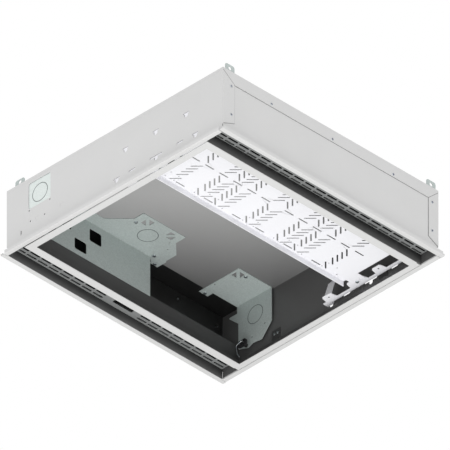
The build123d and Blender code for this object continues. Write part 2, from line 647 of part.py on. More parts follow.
def equipment_plate():
    """The perforated plate that carries the equipment, with a down-turned lip and an end tab."""
    outline = rectangle(PLATE_MIN_X, PLATE_MIN_Y, PLATE_MAX_X, PLATE_MAX_Y)
    tab_x = PLATE_MAX_X + PLATE_TAB_REACH
    tab_half = PLATE_TAB_WIDTH / 2
    outline += rectangle(PLATE_MAX_X - SLUG, PLATE_TAB_Y - tab_half, tab_x, PLATE_TAB_Y + tab_half)
    holes = []
    for x, way, at_edge, inside in diagonal_columns():
        for row in LOWER_ROWS:
            holes.append(slot(x, PLATE_MAX_Y - row, PLATE_SLOT, PLATE_SLOT_WIDTH, 45 * way))
        for row in UPPER_ROWS:
            holes.append(slot(x, PLATE_MAX_Y - row, PLATE_SLOT, PLATE_SLOT_WIDTH, -45 * way))
        if at_edge:
            holes.append(disc(x - way * EDGE_DOT_OFFSET, PLATE_MAX_Y - EDGE_ROW, SMALL_HOLE_RADIUS))
        if inside:
            holes.append(disc(x, PLATE_MAX_Y - DOT_ROW, SMALL_HOLE_RADIUS))
    for step, row in ((1, MIDDLE_ROW), (2, EDGE_ROW)):
        for x in straight_slot_xs(step):
            holes.append(slot(x, PLATE_MAX_Y - row, PLATE_SLOT, PLATE_SLOT_WIDTH))
    for x, row in CORNER_HOLES:
        holes.append(disc(x, PLATE_MAX_Y - row, SMALL_HOLE_RADIUS))
    holes.append(disc(TAB_HOLE_X, SCREW_TAB_Y, SCREW_HOLE_RADIUS))
    holes.append(slot(TAB_HOLE_X - SLUG, SPARE_HOLE_Y, 3 * SCREW_RADIUS, 2 * SCREW_RADIUS))
    holes += [disc(-TAB_HOLE_X, y, SCREW_HOLE_RADIUS) for y in (FRONT_TAB_Y, SCREW_TAB_Y)]
    plate = level_sheet(pierced(outline, holes), PLATE_TOP - SHEET)
    lip = block(PLATE_MIN_X, PLATE_MAX_Y - SHEET, PLATE_LIP_FOOT, PLATE_MAX_X, PLATE_MAX_Y, PLATE_TOP)
    return plate + lip


def bracket_bar():
    """The bar of the right bracket with its three tabs, drawn from below."""
    bar = rectangle(BAR_INNER, BAR_MIN_Y, BAR_OUTER, BAR_MAX_Y)
    for y, width in TABS:
        low, high = y - width / 2, y + width / 2
        tab = Polyline(
            (BAR_INNER + BEND, low - TAB_CORNER),
            (TAB_INNER + TAB_CORNER, low),
            (TAB_INNER, low + TAB_CORNER),
            (TAB_INNER, high - TAB_CORNER),
            (TAB_INNER + TAB_CORNER, high),
            (BAR_INNER + BEND, high + TAB_CORNER),
            close=True,
        )
        bar += make_face(tab)
    screw_ys = (FRONT_TAB_Y, SCREW_TAB_Y, BACK_TAB_Y)
    return pierced(bar, [disc(TAB_HOLE_X, y, SCREW_HOLE_RADIUS) for y in screw_ys])


def plate_bracket():
    """The bar with its feet on the far wall, and an arm that rises from the last tab to the wall."""
    bracket = level_sheet(bracket_bar(), PLATE_TOP, HEAVY_SHEET)
    foot = [(BAR_OUTER - SLUG, PLATE_TOP), (WALL_X, PLATE_TOP), (WALL_X, FOOT_PAD_TOP)]
    for y in FOOT_YS:
        bracket += folded_along_y(foot, y - FOOT_WIDTH / 2, y + FOOT_WIDTH / 2, HEAVY_SHEET)
    arm = [
        (TAB_INNER + 2 * HEAVY_SHEET, PLATE_TOP + BEND),
        (ARM_KNEE_X, ARM_KNEE_Z),
        (WALL_X, ARM_PAD_FOOT),
        (WALL_X, ARM_PAD_TOP),
    ]
    return bracket + folded_along_y(arm, ARM_Y - ARM_WIDTH / 2, ARM_Y + ARM_WIDTH / 2, HEAVY_SHEET)


def left_plate_bracket():
    """The same bar for the near wall, with a plate behind all the keyholes and a gap for the catch spring."""
    bracket = mirror(plate_bracket(), Plane.YZ)
    low, high = BAR_MIN_Y - WALL_PLATE_MARGIN, BAR_MAX_Y + WALL_PLATE_MARGIN
    bracket += block(-WALL_X, low, WALL_PLATE_FOOT, -WALL_X + HEAVY_SHEET, high, WALL_PLATE_TOP)
    half = CATCH_WIDTH / 2 + SHEET
    y = CATCH_YS["front"]
    top = HINGE_PAD_TOP + SHEET
    return bracket - block(-WALL_X - SLUG, y - half, 0, -WALL_X + SLUG, y + half, top)


def plate_screws():
    """Screws that hold the plate under the bracket tabs."""
    z = PLATE_TOP - SHEET
    places = [(TAB_HOLE_X, SCREW_TAB_Y), (-TAB_HOLE_X, SCREW_TAB_Y), (-TAB_HOLE_X, FRONT_TAB_Y)]
    return [screw(x, y, z, (0, 0, -1)) for x, y in places]


def from_near_back(place):
    """A place counted from the near wall and the back rail, in the box's own frame."""
    return -WALL_X + place[0], RAIL_INNER_Y + place[1]


def from_far_back(place):
    """A place counted from the far wall and the back rail, in the box's own frame."""
    return WALL_X + place[0], RAIL_INNER_Y + place[1]


def from_back_rail(place):
    """A place on an upright sheet: y counted from the back rail, z from the ceiling plane."""
    return RAIL_INNER_Y + place[0], place[1]


def closed_outline(points, move):
    return make_face(Polyline(*[move(point) for point in points], close=True))


def box_partition():
    """The galvanised partition of the wiring compartment, with four staggered cut-outs."""
    outline = rectangle(-WALL_X + SHEET, PARTITION_FOOT, -WALL_X + PARTITION_LENGTH, LINER_Z)
    holes = []
    for distances, z, height in (
        (LOWER_CUTOUTS, LOWER_CUTOUT_Z, LOWER_CUTOUT_HEIGHT),
        (UPPER_CUTOUTS, UPPER_CUTOUT_Z, UPPER_CUTOUT_HEIGHT),
    ):
        for distance in distances:
            cutout = RectangleRounded(CUTOUT_WIDTH, height, CUTOUT_CORNER)
            holes.append(Pos(-WALL_X + distance, z) * cutout)
    return on_plane(across_y(RAIL_INNER_Y), pierced(outline, holes), SHEET)


def box_liner():
    """The galvanised liner under the top of the wiring compartment."""
    holes = []
    for x, y, rising in LINER_TIE_HOLES:
        holes += tie_hole(*from_near_back((x, y)), rising)
    holes += [disc(*from_near_back(place), WALL_HOLE_RADIUS) for place in LINER_HOLES]
    holes += [disc(*from_near_back(place), SCREW_HOLE_RADIUS) for place in LINER_SCREWS]
    outline = closed_outline(LINER_OUTLINE, from_near_back)
    liner = level_sheet(pierced(outline, holes), LINER_Z, HEAVY_SHEET)
    groove = knockout_groove(*from_near_back(LINER_KNOCKOUT))
    return liner - level_sheet(groove, LINER_Z, KNOCKOUT_DEPTH)


def corner_liner():
    """The galvanised liner in the far corner: a level plate and an upright one."""
    holes = tie_hole(*from_far_back(CORNER_TIE_HOLE[:2]), CORNER_TIE_HOLE[2])
    holes.append(disc(*from_far_back(CORNER_HOLE), WALL_HOLE_RADIUS))
    holes += [disc(*from_far_back(place), SCREW_HOLE_RADIUS) for place in CORNER_SCREWS]
    outline = closed_outline(CORNER_LEVEL_OUTLINE, from_far_back)
    level = level_sheet(pierced(outline, holes), LINER_Z, HEAVY_SHEET)
    wall_holes = [disc(*from_back_rail(place), WALL_HOLE_RADIUS) for place in CORNER_WALL_HOLES]
    outline = closed_outline(CORNER_UPRIGHT_OUTLINE, from_back_rail)
    plane = across_x(CORNER_LINER_X)
    upright = on_plane(plane, pierced(outline, wall_holes), HEAVY_SHEET)
    groove = knockout_groove(*from_back_rail(CORNER_KNOCKOUT))
    return level + upright - on_plane(plane, groove, KNOCKOUT_DEPTH)


def inlet_liner():
    """The galvanised plate behind the conduit window, with a knockout."""
    middle = RAIL_INNER_Y + INLET_Y
    outline = rectangle(middle - INLET_WIDTH / 2, INLET_FOOT, middle + INLET_WIDTH / 2, LINER_Z)
    holes = [disc(*from_back_rail(place), WALL_HOLE_RADIUS) for place in INLET_HOLES]
    plate = on_plane(across_x(-WALL_X), pierced(outline, holes), SHEET)
    return plate - on_plane(across_x(-WALL_X), knockout_groove(middle, INLET_Z), KNOCKOUT_DEPTH)


def liner_screws():
    """Screws up through the liners, seated under them."""
    places = [from_near_back(place) for place in LINER_SCREWS]
    places += [from_far_back(place) for place in CORNER_SCREWS]
    return [screw(x, y, LINER_Z, (0, 0, -1), HEAVY_SHEET) for x, y in places]


def stay_anchor():
    """A black eight-sided anchor on the corner liner."""
    y = RAIL_INNER_Y + STAY_OFFSET
    half, tall = STAY_WIDTH / 2, STAY_HEIGHT / 2
    corners = [(half - STAY_CORNER, tall), (half, tall - STAY_CORNER)]
    corners += [(a, -b) for a, b in corners[::-1]]
    corners += [(-a, -b) for a, b in corners]
    face = Pos(y, STAY_Z) * make_face(Polyline(*corners, close=True))
    anchor = on_plane(across_x(STAY_FACE_X), face, 2 * HEAVY_SHEET)
    return anchor + rod(SCREW_HEAD_RADIUS, (STAY_FACE_X + SHEET, y, STAY_Z), (CORNER_LINER_X, y, STAY_Z))


def stay_wire():
    """A bright bent wire that springs from the anchor's face."""
    y = RAIL_INNER_Y + STAY_OFFSET
    points = [
        (STAY_FACE_X, y - 5, STAY_Z),
        (STAY_FACE_X - 6, y - 5, STAY_Z),
        (STAY_FACE_X - 6, y + 10, STAY_Z - 5),
        (STAY_FACE_X - 4, y + 8, STAY_Z - 25),
        (STAY_FACE_X - 4, y + 3, STAY_Z - 33),
    ]
    path = FilletPolyline(*points, radius=3)
    section = Plane(origin=points[0], z_dir=(-1, 0, 0)) * Circle(STAY_WIRE_RADIUS)
    return sweep(section, path)


def hanger_outline(across, top, hole_z):
    """A tab with a rounded top and its hanging hole, as a drawing."""
    half = HANGER_WIDTH / 2
    points = [(-half, HANGER_FOOT), (half, HANGER_FOOT), (half, top), (-half, top)]
    outline = make_face(FilletPolyline(*points, radius=[0, 0, HANGER_CORNER, HANGER_CORNER], close=True))
    return pierced(Pos(across, 0) * outline, [disc(across, hole_z, HANGER_HOLE_RADIUS)])


def front_hanger(x):
    """A flat hanging tab inside the front end panel, riveted through it."""
    outline = hanger_outline(x, FRONT_HANGER_TOP, FRONT_HANGER_HOLE_Z)
    tab = on_plane(across_y(-WALL_Y + HEAVY_SHEET), outline, HEAVY_SHEET)
    for rivet_x, z in SIDE_RIVETS:
        tab -= bore(rivet_x, -WALL_Y, z, RIVET_HOLE_RADIUS, (0, 1, 0))
    return tab


def back_left_hanger():
    """A joggled hanging tab welded inside the near wall, standing a little in from it."""
    inset = WALL_X - HANGER_INSET
    section = [
        (inset - HEAVY_SHEET, BACK_HANGER_TOP),
        (inset - HEAVY_SHEET, HANGER_JOGGLE_TOP),
        (WALL_X - HEAVY_SHEET, HANGER_JOGGLE_FOOT),
        (WALL_X - HEAVY_SHEET, HANGER_FOOT),
    ]
    half = HANGER_WIDTH / 2
    tab = folded_along_y(section, BACK_HANGER_Y - half, BACK_HANGER_Y + half, HEAVY_SHEET)
    outline = hanger_outline(BACK_HANGER_Y, BACK_HANGER_TOP, BACK_HANGER_HOLE_Z)
    keep = on_plane(across_x(inset - WALL_X), outline, WALL_X * 2)
    return mirror(tab & keep, Plane.YZ)


def back_right_hanger():
    """A flat hanging tab welded to the outside of the far wall."""
    outline = hanger_outline(BACK_HANGER_Y, BACK_HANGER_TOP, BACK_HANGER_HOLE_Z)
    return on_plane(across_x(WALL_X + SHEET), outline, HEAVY_SHEET)


def save(name, solids):
    """Writes one sub-part. Several solids stay separate in one file."""
    if isinstance(solids, list):
        solids = Compound(children=[solid.solid() for solid in solids])
    export_step(solids, "parts/" + name + ".step")


def main():
    os.makedirs("parts", exist_ok=True)
    save("housing_shell", housing_shell())
    for name, side in (("front", -1), ("back", 1)):
        save(name + "_end_panel", end_panel(side))
        save(name + "_rail", rail(side))
    save("front_vent_grille", vent_grille(-1, FRONT_GRILLE_MARGIN, False))
    save("back_vent_grille", vent_grille(1, BACK_GRILLE_MARGIN, True))
    save("end_panel_rivets", end_panel_rivets())
    save("access_frame", access_frame())
    for name, y in HINGE_YS.items():
        save(name + "_hinge_bracket", hinge_bracket(y))
        save(name + "_hinge_leaf", hinge_leaf(y))
        save(name + "_hinge_pin", hinge_pin(y))
    save("hinge_rivets", hinge_rivets())
    for name, y in CATCH_YS.items():
        save(name + "_catch_spring", catch_spring(y))
    save("equipment_plate", equipment_plate())
    save("left_plate_bracket", left_plate_bracket())
    save("right_plate_bracket", plate_bracket())
    save("plate_screws", plate_screws())
    save("box_partition", box_partition())
    save("box_liner", box_liner())
    save("corner_liner", corner_liner())
    save("inlet_liner", inlet_liner())
    save("liner_screws", liner_screws())
    save("stay_anchor", stay_anchor())
    save("stay_wire", stay_wire())
    for name, x in FRONT_HANGERS_X.items():
        save("front_" + name + "_hanging_tab", front_hanger(x))
    save("back_left_hanging_tab", back_left_hanger())
    save("back_right_hanging_tab", back_right_hanger())


main()
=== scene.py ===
# %% [markdown]
# # Ceiling outlet box
# A recessed steel box for a suspended ceiling, seen from below. A pierced and folded shell carries a hinged
# access frame, two slotted vent channels, a white perforated plate and a galvanised wiring compartment. The
# exact sheet metal is loaded first. This lesson then adds what the eye needs: a small radius on every edge,
# the finishes with painted shade inside the box, dark rings at the knockouts and rivet mandrels that are
# partly painted shade, painted shadow beads along the folds, light and a camera.

# %% Load the imported model
import bpy
import bmesh
import json
import math
from mathutils import Matrix, Vector


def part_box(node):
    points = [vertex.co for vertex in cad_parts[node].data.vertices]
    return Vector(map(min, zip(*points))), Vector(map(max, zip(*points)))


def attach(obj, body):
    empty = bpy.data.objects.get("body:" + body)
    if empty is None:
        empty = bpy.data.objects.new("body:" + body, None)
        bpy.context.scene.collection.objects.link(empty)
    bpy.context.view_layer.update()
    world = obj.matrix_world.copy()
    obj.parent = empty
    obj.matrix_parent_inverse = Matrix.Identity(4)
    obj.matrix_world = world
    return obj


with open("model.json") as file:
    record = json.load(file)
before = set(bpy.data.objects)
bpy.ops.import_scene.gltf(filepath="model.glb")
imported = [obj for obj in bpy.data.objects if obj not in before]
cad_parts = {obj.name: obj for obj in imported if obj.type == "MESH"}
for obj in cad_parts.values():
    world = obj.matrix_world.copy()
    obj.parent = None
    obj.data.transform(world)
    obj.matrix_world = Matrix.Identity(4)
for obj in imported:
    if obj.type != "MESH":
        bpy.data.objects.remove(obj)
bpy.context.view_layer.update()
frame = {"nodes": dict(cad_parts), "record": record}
MM = 0.001
scene = bpy.context.scene
print("pieces of sheet metal:", len(frame["nodes"]))

# %% [markdown]
# ## Camera
# The photograph is an exact isometric view from below: all three axes are shortened alike and parallel
# edges stay parallel. An orthographic camera gives that, while a long lens would only come near. The
# camera's three axes are written out as the columns of its rotation, so there is no angle to round.

# %% Camera under the box, looking up into it
PICTURE_PIXELS = 450
PIXEL = 1.9286 * MM
BOX_CENTRE = Vector((0, 0, 74.5 * MM))
BOX_CENTRE_PIXEL = (222.6, 224.65)
CAMERA_DISTANCE = 2.5
CLIP_END = 20.0

right = Vector((1, -1, 0)).normalized()
up = Vector((-1, -1, 2)).normalized()
back = right.cross(up)
middle = PICTURE_PIXELS / 2
aim = BOX_CENTRE + right * (middle - BOX_CENTRE_PIXEL[0]) * PIXEL
aim = aim + up * (BOX_CENTRE_PIXEL[1] - middle) * PIXEL
camera_data = bpy.data.cameras.new("isometric_camera")
camera_data.type = "ORTHO"
camera_data.ortho_scale = PICTURE_PIXELS * PIXEL
camera_data.clip_end = CLIP_END
camera = bpy.data.objects.new("isometric_camera", camera_data)
turn = Matrix((right, up, back)).transposed().to_4x4()
camera.matrix_world = Matrix.Translation(aim + back * CAMERA_DISTANCE) @ turn
scene.collection.objects.link(camera)
scene.camera = camera
print("camera height:", round(camera.location.z, 3))

# %% [markdown]
# ## Nodes and colours
# Paint charts and photographs give colours in sRGB, but a renderer adds light in linear values. One
# function turns a hex colour into linear, and one function adds a shader node, sets its options and fills
# its sockets.

# %% Two small helpers
def linear(hex_colour):
    """Turns an sRGB hex colour into the linear colour that shader sockets take."""
    channels = [int(hex_colour[i:i + 2], 16) / 255 for i in (1, 3, 5)]
    return tuple(c / 12.92 if c <= 0.04045 else ((c + 0.055) / 1.055) ** 2.4 for c in channels) + (1.0,)


def add_node(tree, kind, inputs=None, **settings):
    """Adds one node, sets its options, then fills its sockets with values or links."""
    node = tree.nodes.new(kind)
    for name, value in settings.items():
        setattr(node, name, value)
    for key, value in (inputs or {}).items():
        if isinstance(value, bpy.types.NodeSocket):
            tree.links.new(value, node.inputs[key])
        else:
            node.inputs[key].default_value = value
    return node


print("light grey in linear:", [round(c, 3) for c in linear("#D8D8D8")])

# %% [markdown]
# ## White studio
# The background is a plain white that only the camera, reflections and see-through rays find. What lights
# the box is a dimmer dome and soft lamps, so the paint is not washed out by its own backdrop.

# %% World
DOME_STRENGTH = 0.60

world = bpy.data.worlds.new("white_studio")
world.use_nodes = True
scene.world = world
scene.view_settings.view_transform = "Standard"
tree = world.node_tree
tree.nodes.clear()
path = add_node(tree, "ShaderNodeLightPath")
seen = add_node(tree, "ShaderNodeMath", {0: path.outputs["Is Camera Ray"], 1: path.outputs["Is Glossy Ray"]})
seen = add_node(
    tree, "ShaderNodeMath", {0: seen.outputs[0], 1: path.outputs["Is Transmission Ray"]}, use_clamp=True
)
levels = {0: seen.outputs[0], 1: 1 - DOME_STRENGTH, 2: DOME_STRENGTH}
strength = add_node(tree, "ShaderNodeMath", levels, operation="MULTIPLY_ADD")
dome = add_node(tree, "ShaderNodeBackground", {"Color": linear("#FFFFFF"), "Strength": strength.outputs[0]})
add_node(tree, "ShaderNodeOutputWorld", {"Surface": dome.outputs[0]})
print("dome strength:", DOME_STRENGTH)

# %% [markdown]
# ## Floor and lamps
# The box hangs high, so the floor lies far below it and below the camera, as in a room. Large lamps stand
# where a photographer would put soft boxes: one for each visible wall, one low for the underside, and one
# over the box for its top, which the photograph doesn't show but other views do.

# %% Floor
FLOOR_Z = -2.3
FLOOR_HALF = 6.0
FLOOR_COLOUR = "#F4F4F2"
FLOOR_ROUGHNESS = 0.8

floor_mesh = bpy.data.meshes.new("studio_floor")
corners = [(x * FLOOR_HALF, y * FLOOR_HALF, FLOOR_Z) for x, y in ((-1, -1), (1, -1), (1, 1), (-1, 1))]
floor_mesh.from_pydata(corners, [], [(0, 1, 2, 3)])
floor = bpy.data.objects.new("studio_floor", floor_mesh)
scene.collection.objects.link(floor)
floor_paint = bpy.data.materials.new("pale_studio_floor")
floor_paint.use_nodes = True
floor_surface = floor_paint.node_tree.nodes["Principled BSDF"]
floor_surface.inputs["Base Color"].default_value = linear(FLOOR_COLOUR)
floor_surface.inputs["Roughness"].default_value = FLOOR_ROUGHNESS
floor_mesh.materials.append(floor_paint)
print("floor at", FLOOR_Z)

# %% Lamps
# Where each lamp stands, in metres, and its power in watts.
LAMPS = {
    "lamp_near_left": ((-2.2, 0.2, 0.1), 12.6),
    "lamp_near_right": ((0.1, -2.3, 0.1), 12.2),
    "lamp_low": ((-0.5, -0.5, -2.0), 23.0),
    "lamp_over": ((0.6, 0.8, 2.4), 14.0),
}
LAMP_SIZE = 1.8

for name, (place, watts) in LAMPS.items():
    lamp_data = bpy.data.lights.new(name, "AREA")
    lamp_data.shape = "DISK"
    lamp_data.size = LAMP_SIZE
    lamp_data.energy = watts
    lamp = bpy.data.objects.new(name, lamp_data)
    lamp.location = place
    lamp.rotation_euler = (BOX_CENTRE - Vector(place)).to_track_quat("-Z", "Y").to_euler()
    scene.collection.objects.link(lamp)
print("lamps:", ", ".join(LAMPS))

# %% [markdown]
# ## Starting a material
# Every finish here is a Principled surface whose pattern is placed by the object's own coordinates, in
# metres. A pattern that repeats every so many millimetres needs one thousand divided by that many cells in
# a metre.

# %% Material helper
def per_metre(millimetres):
    """How many cells of this size fit in a metre, which is what a texture's scale asks for."""
    return 1000.0 / millimetres


def start_finish(name):
    """A new material with an empty surface, and the coordinates that its patterns use."""
    material = bpy.data.materials.new(name)
    material.use_nodes = True
    material.node_tree.nodes.clear()
    surface = add_node(material.node_tree, "ShaderNodeBsdfPrincipled")
    add_node(material.node_tree, "ShaderNodeOutputMaterial", {"Surface": surface.outputs[0]})
    place = add_node(material.node_tree, "ShaderNodeTexCoord").outputs["Object"]
    return material, material.node_tree, surface, place


def link_bump(tree, surface, height, millimetres, strength=1.0):
    """Leads a pattern of 0 to 1 into the surface's normal, as relief of this depth."""
    bump = add_node(
        tree, "ShaderNodeBump", {"Height": height, "Distance": millimetres * MM, "Strength": strength}
    )
    tree.links.new(bump.outputs[0], surface.inputs["Normal"])


print("cells of 2 mm in a metre:", per_metre(2))

# %% [markdown]
# ## Polyester powder coat on steel
# The shell, end panels, rails, grilles, hinge brackets and access frame are folded steel, sprayed with
# charged light grey powder and baked. Baking leaves a faint orange peel, a satin gloss and almost no change
# of colour. Two noise textures give that: a broad one makes clouds in the colour and gloss, and a fine one
# makes relief. They need no unwrapping and show no seam. The peel is real at 1 to 2 mm, but is drawn at 4
# mm so that it shows at all in this picture. The enamel further on is a baked coat too, so it uses the same
# function.

# %% A baked coat
PEEL_MM = 4.0
CLOUD_MM = 70.0
ROUGHNESS_SWING = 0.05


def mix_colours(tree, factor, first, second):
    """Blends two colours by a factor of 0 to 1. A colour is a hex text or a socket."""
    first, second = (linear(c) if isinstance(c, str) else c for c in (first, second))
    return add_node(tree, "ShaderNodeMix", {0: factor, 6: first, 7: second}, data_type="RGBA").outputs[2]


def satin_coat(name, clean, dull, roughness, peel_depth):
    """A baked coat: faint clouds in its colour and gloss, and an orange-peel relief."""
    material, tree, surface, place = start_finish(name)
    broad, fine = per_metre(CLOUD_MM), per_metre(PEEL_MM)
    clouds = add_node(tree, "ShaderNodeTexNoise", {"Vector": place, "Scale": broad, "Detail": 4.0})
    colour = mix_colours(tree, clouds.outputs[0], clean, dull)
    tree.links.new(colour, surface.inputs["Base Color"])
    low, high = roughness - ROUGHNESS_SWING, roughness + ROUGHNESS_SWING
    gloss = add_node(tree, "ShaderNodeMapRange", {"Value": clouds.outputs[0], "To Min": low, "To Max": high})
    tree.links.new(gloss.outputs[0], surface.inputs["Roughness"])
    peel = add_node(tree, "ShaderNodeTexNoise", {"Vector": place, "Scale": fine, "Detail": 1.0})
    link_bump(tree, surface, peel.outputs[0], peel_depth)
    return material, tree, surface, colour, place


print("orange peel drawn at", PEEL_MM, "mm")

# %% [markdown]
# ## Painted shade inside the box
# The inside of the box is the same paint, but its colour there is painted darker: painted shade that stands in
# for the shade inside the box. The top is lightest, painted darker towards its far corner and nearly black
# behind the partition. The end panels, the rails and the lip of the access frame are painted dark too. A mask
# made of Math nodes finds the points that lie inside the box, so no piece has to be cut in two or unwrapped.
# The top has a fade of its own. Each kind of piece has two tones of painted shade for its upright faces: one
# at its foot and one higher up.

# %% Mask of the inside of the box
INSIDE_HALF = 293.0 * MM
INSIDE_TOP = 148.4 * MM


def math_node(tree, operation, first, second):
    """One step of arithmetic with two values or sockets."""
    return add_node(tree, "ShaderNodeMath", {0: first, 1: second}, operation=operation).outputs[0]


def inside_mask(tree, axes, foot):
    """1 inside the box, above this height, and 0 outside it."""
    across = math_node(tree, "ABSOLUTE", axes[0], 0.0)
    along = math_node(tree, "ABSOLUTE", axes[1], 0.0)
    within = math_node(tree, "LESS_THAN", math_node(tree, "MAXIMUM", across, along), INSIDE_HALF)
    above = math_node(tree, "GREATER_THAN", axes[2], foot)
    below = math_node(tree, "LESS_THAN", axes[2], INSIDE_TOP)
    return math_node(tree, "MULTIPLY", within, math_node(tree, "MULTIPLY", above, below))


print("the inside reaches", INSIDE_HALF, "m from the middle and", INSIDE_TOP, "m up")

# %% Powder coat with painted shade inside the box
POWDER_GREY = "#DADADA"
POWDER_GREY_DULL = "#D4D4D4"
POWDER_ROUGHNESS = 0.45
POWDER_PEEL_DEPTH = 0.03
SHEET_THICKNESS = 1.3 * MM
WALL_FOOT = 4.0 * MM
FOOT_FADE = 24.3 * MM
TOP_PANEL_FOOT = 147.0 * MM
TOP_FADE = 560.0 * MM
# Painted shade on the inside of the top: lighter near, darker at its far corner, nearly black behind the
# partition.
TOP_NEAR_PAINTED_SHADE = "#B2B2B2"
TOP_FAR_PAINTED_SHADE = "#4E4E4E"
COMPARTMENT_Y = 249.0 * MM
COMPARTMENT_PAINTED_SHADE = "#161616"
# The tone of painted shade at the foot, the tone higher up, and the height at which the painted shade starts.
PAINTED_SHADE_TONES = {
    "wall": ("#666666", "#5A5A5A", WALL_FOOT),
    "channel": ("#747474", "#262626", SHEET_THICKNESS),
    "rail": ("#4C4C4C", "#484848", SHEET_THICKNESS),
    "lip": ("#3A3A3A", "#3A3A3A", SHEET_THICKNESS),
    "grille": ("#8E9090", "#8E9090", SHEET_THICKNESS),
}


def powder_coat_with_painted_shade(part, low, high, foot):
    """The powder coat of one kind of piece: its own colour outside, and painted shade inside the box above its
    foot.
    """
    material, tree, surface, colour, place = satin_coat(
        "powder_coat_painted_shade_" + part, POWDER_GREY, POWDER_GREY_DULL, POWDER_ROUGHNESS, POWDER_PEEL_DEPTH
    )
    axes = add_node(tree, "ShaderNodeSeparateXYZ", {0: place}).outputs
    # Painted shade: darker towards the far corner of the top, nearly black behind the partition, two tones up
    # the upright faces.
    towards_far = math_node(tree, "ADD", axes[0], axes[1])
    fade = add_node(tree, "ShaderNodeMapRange", {"Value": towards_far, "From Max": TOP_FADE}).outputs[0]
    top_painted_shade = mix_colours(tree, fade, TOP_NEAR_PAINTED_SHADE, TOP_FAR_PAINTED_SHADE)
    wired = math_node(tree, "GREATER_THAN", axes[1], COMPARTMENT_Y)
    top_painted_shade = mix_colours(tree, wired, top_painted_shade, COMPARTMENT_PAINTED_SHADE)
    on_top = math_node(tree, "GREATER_THAN", axes[2], TOP_PANEL_FOOT)
    upwards = add_node(tree, "ShaderNodeMapRange", {"Value": axes[2], "From Max": FOOT_FADE}).outputs[0]
    inner = mix_colours(tree, on_top, mix_colours(tree, upwards, low, high), top_painted_shade)
    everywhere = mix_colours(tree, inside_mask(tree, axes, foot), colour, inner)
    tree.links.new(everywhere, surface.inputs["Base Color"])
    return material


coats_with_painted_shade = {part: powder_coat_with_painted_shade(part, *tones) for part, tones in PAINTED_SHADE_TONES.items()}
print("made", ", ".join(m.name for m in coats_with_painted_shade.values()))

# %% [markdown]
# ## White enamel on steel
# The perforated plate and its brackets are coated whiter and smoother than the box. Enamel is sprayed wet
# and levels out more than powder, so its relief is lower and its gloss higher. The rest is the same baked
# coat.

# %% White enamel
ENAMEL_WHITE = "#F8F8FC"
ENAMEL_SHADE = "#F1F1F6"
ENAMEL_ROUGHNESS = 0.32
ENAMEL_PEEL_DEPTH = 0.015

white_enamel, *_ = satin_coat("white_enamel", ENAMEL_WHITE, ENAMEL_SHADE, ENAMEL_ROUGHNESS, ENAMEL_PEEL_DEPTH)
print("made", white_enamel.name)

# %% [markdown]
# ## Hot-dip galvanised steel
# The wiring compartment and the hanging tabs are cut from galvanised coil. Zinc freezes in flat crystals,
# each of which mirrors the light a little differently: this is the spangle. Cells of a Voronoi texture
# stand for the crystals, as both are flat patches with straight borders. Coil for ducts and boxes has a
# fine spangle of about 2 mm, with a dull grey-green oxide over it. The oxide hides most of the metal, so
# the metallic value is low. The plate at the conduit window is fresher and lighter. A punched knockout
# leaves a torn edge with shade in its groove, so its ring is a dark zinc that is partly painted shade.

# %% Galvanised sheet
SPANGLE_MM = 2.0
ZINC_DARK = "#AEB8B6"
ZINC_LIGHT = "#CAD3D1"
ZINC_OXIDE = "#BBC4C2"
FRESH_ZINC_DARK = "#D6DEDC"
FRESH_ZINC_LIGHT = "#EAF0EE"
FRESH_ZINC_OXIDE = "#E0E8E6"
PUNCH_AND_GROOVE_SHADE_DARK = "#666E6D"
PUNCH_AND_GROOVE_SHADE_LIGHT = "#7C8483"
OXIDE_MM = 25.0
ZINC_METALLIC = 0.15
ZINC_ROUGHNESS = (0.38, 0.55)
SPANGLE_RELIEF = 0.02


def spangled_zinc(name, dark, light, oxide_colour):
    """Zinc coil: crystals of two tones under a veil of oxide."""
    material, tree, surface, place = start_finish(name)
    crystals = add_node(tree, "ShaderNodeTexVoronoi", {"Vector": place, "Scale": per_metre(SPANGLE_MM)})
    crystal_tone = add_node(tree, "ShaderNodeSeparateColor", {0: crystals.outputs["Color"]}).outputs[0]
    spread = per_metre(OXIDE_MM)
    oxide = add_node(tree, "ShaderNodeTexNoise", {"Vector": place, "Scale": spread, "Detail": 6.0})
    metal_tone = mix_colours(tree, crystal_tone, dark, light)
    veiled = mix_colours(tree, oxide.outputs[0], metal_tone, oxide_colour)
    tree.links.new(veiled, surface.inputs["Base Color"])
    surface.inputs["Metallic"].default_value = ZINC_METALLIC
    low, high = ZINC_ROUGHNESS
    gloss = add_node(tree, "ShaderNodeMapRange", {"Value": crystal_tone, "To Min": low, "To Max": high})
    tree.links.new(gloss.outputs[0], surface.inputs["Roughness"])
    link_bump(tree, surface, crystal_tone, SPANGLE_RELIEF)
    return material


galvanised = spangled_zinc("hot_dip_galvanised_steel", ZINC_DARK, ZINC_LIGHT, ZINC_OXIDE)
bright_galvanised = spangled_zinc(
    "fresh_galvanised_steel", FRESH_ZINC_DARK, FRESH_ZINC_LIGHT, FRESH_ZINC_OXIDE
)
# The dark zinc of the knockout rings: the torn edge, painted darker as the shade of the groove.
punched_edge_and_groove_shade = spangled_zinc("punched_zinc_edge_and_groove_shade", PUNCH_AND_GROOVE_SHADE_DARK, PUNCH_AND_GROOVE_SHADE_LIGHT, PUNCH_AND_GROOVE_SHADE_DARK)
print("made", galvanised.name, bright_galvanised.name, punched_edge_and_groove_shade.name)

# %% [markdown]
# ## Zinc plating, spring strip and moulded nylon
# Screws, rivets, hinge leaves, hinge pins and the stay's wire are zinc plated: bright, smooth and faintly
# blue. The catch springs are rolled strip, whose fine lines run along its length: a noise texture stretched
# that way draws them. The stay's anchor is moulded nylon with a fine matt grain. These pieces are small, so
# one noise texture each is enough.

# %% Zinc plating
PLATING_BLUE = "#B9C3CE"
PLATING_WARM = "#C9CBC6"
TINT_MM = 6.0
PLATING_ROUGHNESS = 0.28

